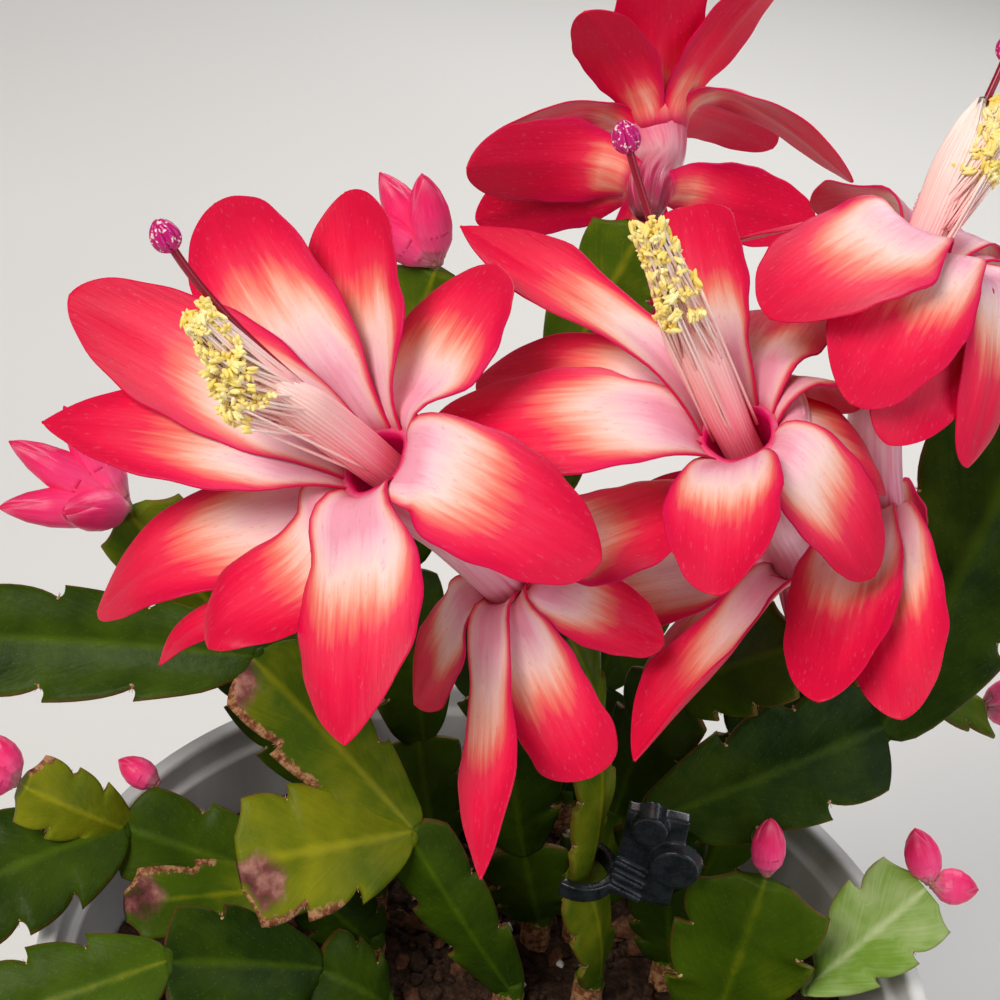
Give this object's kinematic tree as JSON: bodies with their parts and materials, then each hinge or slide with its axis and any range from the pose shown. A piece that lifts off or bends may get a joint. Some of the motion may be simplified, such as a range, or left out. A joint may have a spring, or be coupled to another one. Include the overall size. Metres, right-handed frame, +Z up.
{
  "type": "potted christmas cactus",
  "caption": "Houseplant in a small plastic nursery pot, with arching chains of flat toothed stem segments, open red flowers with long stamens, pink buds and a plant clip.",
  "frame": {"origin": "centre of the flat underside of the pot, where it rests", "axes": "+X to the right as seen from the front, +Y to the back, +Z up; -Y is the front that faces the picture's camera"},
  "size_m": [0.1562, 0.1744, 0.2319],
  "materials": {
    "grey_plastic": "moulded light grey polypropylene, faintly satin",
    "potting_soil": "dark brown peat with coarse crumbs",
    "green_stem": "waxy green skin with a soft sheen",
    "young_stem": "fresh light green waxy skin",
    "red_tepal": "crimson petal, white-pink at the base, with a silky sheen",
    "cream_stamen": "white filaments with pale yellow pollen on the anthers",
    "magenta_style": "smooth deep magenta",
    "pink_bud": "hot pink petals closed to a point, with a soft sheen",
    "dark_plastic": "dark charcoal moulded plastic"
  },
  "bodies": {
    "root": {"pot": "grey_plastic", "soil": "potting_soil", "stem_left_front": "green_stem", "stem_mid": "green_stem", "stem_inner": "green_stem", "stem_centre": "green_stem", "stem_right": "green_stem", "stem_right_back": "green_stem", "stem_back": "green_stem", "stem_back_left": "green_stem", "stem_left_back": "green_stem", "stem_left": "green_stem", "stem_left_low": "green_stem", "stem_right_front": "green_stem", "stem_right_low": "young_stem", "stem_far_right": "green_stem", "stem_far": "green_stem", "stem_far_left": "green_stem", "stem_front": "green_stem", "stem_front_right": "green_stem", "stem_front_left": "green_stem", "bloom_left_tepals": "red_tepal", "bloom_left_stamens": "cream_stamen", "bloom_left_style": "magenta_style", "bloom_centre_tepals": "red_tepal", "bloom_centre_stamens": "cream_stamen", "bloom_centre_style": "magenta_style", "bloom_right_tepals": "red_tepal", "bloom_right_stamens": "cream_stamen", "bloom_right_style": "magenta_style", "bloom_top_tepals": "red_tepal", "bloom_top_stamens": "cream_stamen", "bloom_top_style": "magenta_style", "buds_left": "pink_bud", "buds_back_left": "pink_bud", "buds_left_low": "pink_bud", "bud_left_blade": "pink_bud", "bud_right_front": "pink_bud", "buds_right_low": "pink_bud", "buds_far_right": "pink_bud", "buds_far": "pink_bud", "buds_front_right": "pink_bud", "buds_front": "pink_bud", "plant_clip": "dark_plastic"}
  },
  "joints": []
}
